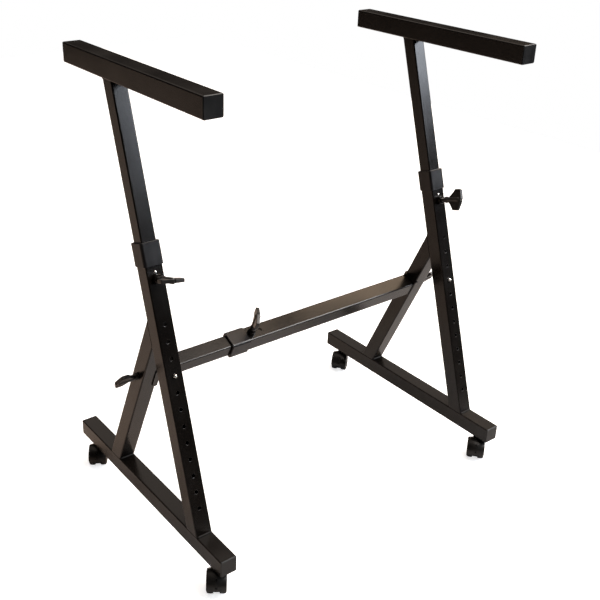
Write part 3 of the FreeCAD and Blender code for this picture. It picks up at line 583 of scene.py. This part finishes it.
def cosine_to(tree, coordinates, direction):
    """Dot product of the texture coordinates of a kind with a direction."""
    place = tree.nodes.new("ShaderNodeTexCoord")
    product = tree.nodes.new("ShaderNodeVectorMath")
    product.operation = "DOT_PRODUCT"
    tree.links.new(place.outputs[coordinates], product.inputs[0])
    product.inputs[1].default_value = direction
    return product.outputs["Value"]


def studio_floor():
    """Wide pale floor that keeps a soft shadow and reads as white to the camera, and warm in reflections."""
    mesh = bpy.data.meshes.new("studio_floor")
    corners = [
        (FLOOR_LEFT, FLOOR_FRONT, FLOOR_DROP), (FLOOR_RIGHT, FLOOR_FRONT, FLOOR_DROP),
        (FLOOR_RIGHT, FLOOR_REAR, FLOOR_DROP), (FLOOR_LEFT, FLOOR_REAR, FLOOR_DROP)]
    mesh.from_pydata(corners, [], [(0, 1, 2, 3)])
    floor = bpy.data.objects.new("studio_floor", mesh)
    bpy.context.scene.collection.objects.link(floor)
    material, tree, shader = new_material("studio_paper", PALE_PAPER, roughness=0.95, specular=0.1)
    paths = tree.nodes.new("ShaderNodeLightPath")
    seen = tree.nodes.new("ShaderNodeMath")
    seen.operation = "MAXIMUM"
    tree.links.new(paths.outputs["Is Camera Ray"], seen.inputs[0])
    tree.links.new(paths.outputs["Is Transmission Ray"], seen.inputs[1])
    glow = tree.nodes.new("ShaderNodeEmission")
    glow.inputs["Strength"].default_value = FLOOR_GLOW
    bright_paper = tree.nodes.new("ShaderNodeAddShader")
    tree.links.new(shader.outputs["BSDF"], bright_paper.inputs[0])
    tree.links.new(glow.outputs["Emission"], bright_paper.inputs[1])
    warmth = spread(tree, cosine_to(tree, "Object", WARM_SIDE), 0.0, 1.0, WARM_START, WARM_FULL)
    mirrored_paper = tree.nodes.new("ShaderNodeBsdfDiffuse")
    tree.links.new(blended(tree, warmth, COOL_PAPER, WARM_PAPER), mirrored_paper.inputs["Color"])
    chosen = tree.nodes.new("ShaderNodeMixShader")
    tree.links.new(seen.outputs["Value"], chosen.inputs["Fac"])
    tree.links.new(mirrored_paper.outputs["BSDF"], chosen.inputs[1])
    tree.links.new(bright_paper.outputs["Shader"], chosen.inputs[2])
    tree.links.new(chosen.outputs["Shader"], tree.nodes["Material Output"].inputs["Surface"])
    mesh.materials.append(material)


def studio_world():
    """White to the camera; to the object a warm glow high up behind it, and a dark room elsewhere."""
    world = bpy.data.worlds.new("studio")
    bpy.context.scene.world = world
    world.use_nodes = True
    tree = world.node_tree
    shown = tree.nodes["Background"]
    paths = tree.nodes.new("ShaderNodeLightPath")
    behind = spread(tree, cosine_to(tree, "Generated", BACKDROP_DIRECTION), 0.0, 1.0, GLOW_START, GLOW_FULL)
    room = blended(tree, behind, DARK_ROOM, WARM_GLOW)
    tree.links.new(blended(tree, paths.outputs["Is Camera Ray"], room, WHITE), shown.inputs["Color"])
    shown.inputs["Strength"].default_value = 1.0


def softbox(name, place, aim, size, watts, colour, diffuse=True):
    """Rectangular lamp at a place, turned towards a point; without diffuse it shows in reflections only."""
    lamp = bpy.data.lights.new(name, "AREA")
    lamp.shape = "RECTANGLE"
    lamp.size, lamp.size_y = size
    lamp.energy = watts
    lamp.color = colour
    holder = bpy.data.objects.new(name, lamp)
    holder.location = place
    holder.rotation_euler = (Vector(aim) - Vector(place)).to_track_quat("-Z", "Y").to_euler()
    holder.visible_diffuse = diffuse
    bpy.context.scene.collection.objects.link(holder)


studio_floor()
studio_world()
softbox("warm_softbox", place=(2.6, 0.5, 3.2), aim=(0.0, 0.0, 0.3), size=(2.0, 1.4), watts=42,
        colour=(1.0, 0.73, 0.49))
softbox("overhead_softbox", place=(0.9, -1.0, 3.2), aim=(0.2, 0.0, 0.0), size=(2.0, 2.0), watts=80,
        colour=(1.0, 0.92, 0.86))
softbox("front_softbox", place=(2.84, -2.99, 2.02), aim=(0.0, 0.0, 0.7), size=(2.6, 1.0), watts=145,
        colour=(0.84, 0.90, 1.0))
softbox("left_softbox", place=(-3.2, 1.2, 1.6), aim=(-1.0, 1.5, 0.0), size=(1.6, 2.0), watts=5,
        colour=(1.0, 0.90, 0.80))

# Draws the thin light line along the crossbar's upper front edge
softbox("edge_softbox", place=(2.24, -1.86, 3.07), aim=(0.0, 0.0, 0.33), size=(1.7, 1.0), watts=260,
        colour=(1.0, 0.97, 0.95), diffuse=False)


# Camera, solved from the edges of the stand in the photograph

CAMERA_PLACE = (-1.00036, -1.22152, 1.16253)
CAMERA_TURN = 0.654036
CAMERA_DIP = 0.438627
CAMERA_ROLL = 0.024365
CAMERA_FOCAL_PIXELS = 911.093
CAMERA_SHIFT = (0.0502, -0.0441)
PHOTO_WIDTH = 600
SENSOR = 36.0

level = math.cos(CAMERA_DIP)
ahead = Vector((math.sin(CAMERA_TURN) * level, math.cos(CAMERA_TURN) * level, -math.sin(CAMERA_DIP)))
level_right = ahead.cross(Vector((0, 0, 1))).normalized()
level_up = level_right.cross(ahead)
right = level_right * math.cos(CAMERA_ROLL) + level_up * math.sin(CAMERA_ROLL)
up = level_up * math.cos(CAMERA_ROLL) - level_right * math.sin(CAMERA_ROLL)
camera_data = bpy.data.cameras.new("camera")
camera_data.sensor_width = SENSOR
camera_data.lens = SENSOR * CAMERA_FOCAL_PIXELS / PHOTO_WIDTH
camera_data.shift_x, camera_data.shift_y = CAMERA_SHIFT
camera = bpy.data.objects.new("camera", camera_data)
camera.matrix_world = Matrix((
    (right.x, up.x, -ahead.x, CAMERA_PLACE[0]), (right.y, up.y, -ahead.y, CAMERA_PLACE[1]),
    (right.z, up.z, -ahead.z, CAMERA_PLACE[2]), (0, 0, 0, 1)))
bpy.context.scene.collection.objects.link(camera)
bpy.context.scene.camera = camera
bpy.context.scene.view_settings.view_transform = "Standard"
